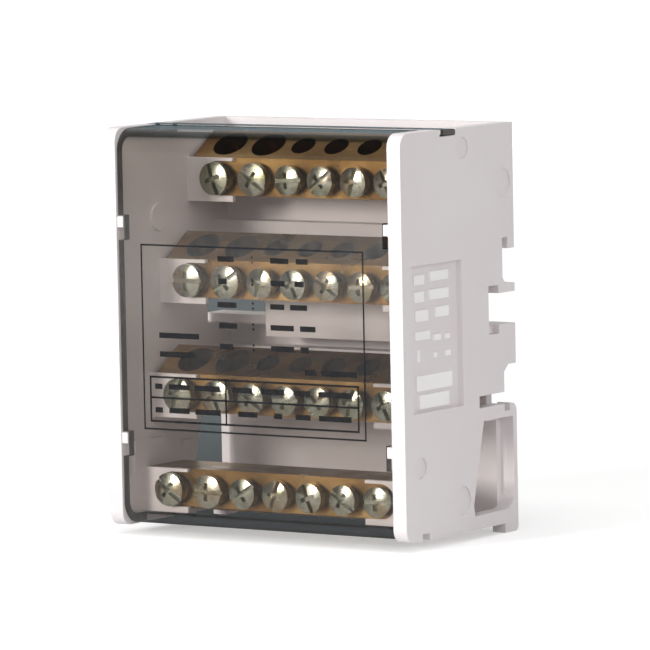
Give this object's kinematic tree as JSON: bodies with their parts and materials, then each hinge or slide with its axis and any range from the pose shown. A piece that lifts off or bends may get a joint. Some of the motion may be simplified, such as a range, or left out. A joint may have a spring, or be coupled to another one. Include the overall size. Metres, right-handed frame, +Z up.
{
  "type": "power distribution block",
  "caption": "Rail-mount distribution block: stepped brass terminal bars with clamp screws between two side plates, under a clear hinged cover.",
  "frame": {"origin": "middle of the width and of the depth, at the underside of the rear feet", "axes": "+Z up, towards the cover's hinge; -Y out of the front cover; +Y towards the rail; +X to the right seen from the front"},
  "size_m": [0.072, 0.0414, 0.0829],
  "materials": {
    "housing": "fine matt, light grey moulding",
    "cover": "polished clear polycarbonate with a light smoke tint",
    "brass": "extruded, lightly tarnished",
    "zinc": "bright zinc plating with a yellow tint"
  },
  "bodies": {
    "block": {"side_plate_left": "housing", "side_plate_right": "housing", "rear_frame": "housing", "busbar_1": "brass", "busbar_2": "brass", "busbar_3": "brass", "busbar_4": "brass"},
    "cover": {"cover": "cover"},
    "terminal_screw_1_1": {"terminal_screw_1_1": "zinc"},
    "terminal_screw_1_2": {"terminal_screw_1_2": "zinc"},
    "terminal_screw_1_3": {"terminal_screw_1_3": "zinc"},
    "terminal_screw_1_4": {"terminal_screw_1_4": "zinc"},
    "terminal_screw_1_5": {"terminal_screw_1_5": "zinc"},
    "terminal_screw_1_6": {"terminal_screw_1_6": "zinc"},
    "terminal_screw_1_7": {"terminal_screw_1_7": "zinc"},
    "terminal_screw_2_1": {"terminal_screw_2_1": "zinc"},
    "terminal_screw_2_2": {"terminal_screw_2_2": "zinc"},
    "terminal_screw_2_3": {"terminal_screw_2_3": "zinc"},
    "terminal_screw_2_4": {"terminal_screw_2_4": "zinc"},
    "terminal_screw_2_5": {"terminal_screw_2_5": "zinc"},
    "terminal_screw_2_6": {"terminal_screw_2_6": "zinc"},
    "terminal_screw_2_7": {"terminal_screw_2_7": "zinc"},
    "terminal_screw_3_1": {"terminal_screw_3_1": "zinc"},
    "terminal_screw_3_2": {"terminal_screw_3_2": "zinc"},
    "terminal_screw_3_3": {"terminal_screw_3_3": "zinc"},
    "terminal_screw_3_4": {"terminal_screw_3_4": "zinc"},
    "terminal_screw_3_5": {"terminal_screw_3_5": "zinc"},
    "terminal_screw_3_6": {"terminal_screw_3_6": "zinc"},
    "terminal_screw_3_7": {"terminal_screw_3_7": "zinc"},
    "terminal_screw_4_1": {"terminal_screw_4_1": "zinc"},
    "terminal_screw_4_2": {"terminal_screw_4_2": "zinc"},
    "terminal_screw_4_3": {"terminal_screw_4_3": "zinc"},
    "terminal_screw_4_4": {"terminal_screw_4_4": "zinc"},
    "terminal_screw_4_5": {"terminal_screw_4_5": "zinc"},
    "terminal_screw_4_6": {"terminal_screw_4_6": "zinc"},
    "terminal_screw_4_7": {"terminal_screw_4_7": "zinc"}
  },
  "joints": [
    {"name": "cover_hinge", "type": "hinge", "parent": "block", "child": "cover", "pos_m": [0, -0.00115, 0.0822], "axis": [-1, 0, 0], "range_deg": [0, 100]},
    {"name": "screw_turn_1_1", "type": "hinge", "parent": "block", "child": "terminal_screw_1_1", "pos_m": [-0.02525, 0.00547, 0.0712], "axis": [0, -1, 0], "range_deg": [0, 2610]},
    {"name": "screw_turn_1_2", "type": "hinge", "parent": "block", "child": "terminal_screw_1_2", "pos_m": [-0.01575, 0.00547, 0.0712], "axis": [0, -1, 0], "range_deg": [0, 2610]},
    {"name": "screw_turn_1_3", "type": "hinge", "parent": "block", "child": "terminal_screw_1_3", "pos_m": [-0.00715, 0.00547, 0.0712], "axis": [0, -1, 0], "range_deg": [0, 2250]},
    {"name": "screw_turn_1_4", "type": "hinge", "parent": "block", "child": "terminal_screw_1_4", "pos_m": [0.00095, 0.00547, 0.0712], "axis": [0, -1, 0], "range_deg": [0, 2250]},
    {"name": "screw_turn_1_5", "type": "hinge", "parent": "block", "child": "terminal_screw_1_5", "pos_m": [0.00905, 0.00547, 0.0712], "axis": [0, -1, 0], "range_deg": [0, 2250]},
    {"name": "screw_turn_1_6", "type": "hinge", "parent": "block", "child": "terminal_screw_1_6", "pos_m": [0.01715, 0.00547, 0.0712], "axis": [0, -1, 0], "range_deg": [0, 2250]},
    {"name": "screw_turn_1_7", "type": "hinge", "parent": "block", "child": "terminal_screw_1_7", "pos_m": [0.02525, 0.00547, 0.0712], "axis": [0, -1, 0], "range_deg": [0, 2250]},
    {"name": "screw_turn_2_1", "type": "hinge", "parent": "block", "child": "terminal_screw_2_1", "pos_m": [-0.02525, -0.00495, 0.0511], "axis": [0, -1, 0], "range_deg": [0, 2610]},
    {"name": "screw_turn_2_2", "type": "hinge", "parent": "block", "child": "terminal_screw_2_2", "pos_m": [-0.01575, -0.00495, 0.0511], "axis": [0, -1, 0], "range_deg": [0, 2610]},
    {"name": "screw_turn_2_3", "type": "hinge", "parent": "block", "child": "terminal_screw_2_3", "pos_m": [-0.00715, -0.00495, 0.0511], "axis": [0, -1, 0], "range_deg": [0, 2250]},
    {"name": "screw_turn_2_4", "type": "hinge", "parent": "block", "child": "terminal_screw_2_4", "pos_m": [0.00095, -0.00495, 0.0511], "axis": [0, -1, 0], "range_deg": [0, 2250]},
    {"name": "screw_turn_2_5", "type": "hinge", "parent": "block", "child": "terminal_screw_2_5", "pos_m": [0.00905, -0.00495, 0.0511], "axis": [0, -1, 0], "range_deg": [0, 2250]},
    {"name": "screw_turn_2_6", "type": "hinge", "parent": "block", "child": "terminal_screw_2_6", "pos_m": [0.01715, -0.00495, 0.0511], "axis": [0, -1, 0], "range_deg": [0, 2250]},
    {"name": "screw_turn_2_7", "type": "hinge", "parent": "block", "child": "terminal_screw_2_7", "pos_m": [0.02525, -0.00495, 0.0511], "axis": [0, -1, 0], "range_deg": [0, 2250]},
    {"name": "screw_turn_3_1", "type": "hinge", "parent": "block", "child": "terminal_screw_3_1", "pos_m": [-0.02525, -0.00895, 0.028], "axis": [0, -1, 0], "range_deg": [0, 2610]},
    {"name": "screw_turn_3_2", "type": "hinge", "parent": "block", "child": "terminal_screw_3_2", "pos_m": [-0.01575, -0.00895, 0.028], "axis": [0, -1, 0], "range_deg": [0, 2610]},
    {"name": "screw_turn_3_3", "type": "hinge", "parent": "block", "child": "terminal_screw_3_3", "pos_m": [-0.00715, -0.00895, 0.028], "axis": [0, -1, 0], "range_deg": [0, 2250]},
    {"name": "screw_turn_3_4", "type": "hinge", "parent": "block", "child": "terminal_screw_3_4", "pos_m": [0.00095, -0.00895, 0.028], "axis": [0, -1, 0], "range_deg": [0, 2250]},
    {"name": "screw_turn_3_5", "type": "hinge", "parent": "block", "child": "terminal_screw_3_5", "pos_m": [0.00905, -0.00895, 0.028], "axis": [0, -1, 0], "range_deg": [0, 2250]},
    {"name": "screw_turn_3_6", "type": "hinge", "parent": "block", "child": "terminal_screw_3_6", "pos_m": [0.01715, -0.00895, 0.028], "axis": [0, -1, 0], "range_deg": [0, 2250]},
    {"name": "screw_turn_3_7", "type": "hinge", "parent": "block", "child": "terminal_screw_3_7", "pos_m": [0.02525, -0.00895, 0.028], "axis": [0, -1, 0], "range_deg": [0, 2250]},
    {"name": "screw_turn_4_1", "type": "hinge", "parent": "block", "child": "terminal_screw_4_1", "pos_m": [-0.02525, -0.01265, 0.0091], "axis": [0, -1, 0], "range_deg": [0, 2610]},
    {"name": "screw_turn_4_2", "type": "hinge", "parent": "block", "child": "terminal_screw_4_2", "pos_m": [-0.01575, -0.01265, 0.0091], "axis": [0, -1, 0], "range_deg": [0, 2610]},
    {"name": "screw_turn_4_3", "type": "hinge", "parent": "block", "child": "terminal_screw_4_3", "pos_m": [-0.00715, -0.01265, 0.0091], "axis": [0, -1, 0], "range_deg": [0, 2250]},
    {"name": "screw_turn_4_4", "type": "hinge", "parent": "block", "child": "terminal_screw_4_4", "pos_m": [0.00095, -0.01265, 0.0091], "axis": [0, -1, 0], "range_deg": [0, 2250]},
    {"name": "screw_turn_4_5", "type": "hinge", "parent": "block", "child": "terminal_screw_4_5", "pos_m": [0.00905, -0.01265, 0.0091], "axis": [0, -1, 0], "range_deg": [0, 2250]},
    {"name": "screw_turn_4_6", "type": "hinge", "parent": "block", "child": "terminal_screw_4_6", "pos_m": [0.01715, -0.01265, 0.0091], "axis": [0, -1, 0], "range_deg": [0, 2250]},
    {"name": "screw_turn_4_7", "type": "hinge", "parent": "block", "child": "terminal_screw_4_7", "pos_m": [0.02525, -0.01265, 0.0091], "axis": [0, -1, 0], "range_deg": [0, 2250]}
  ]
}
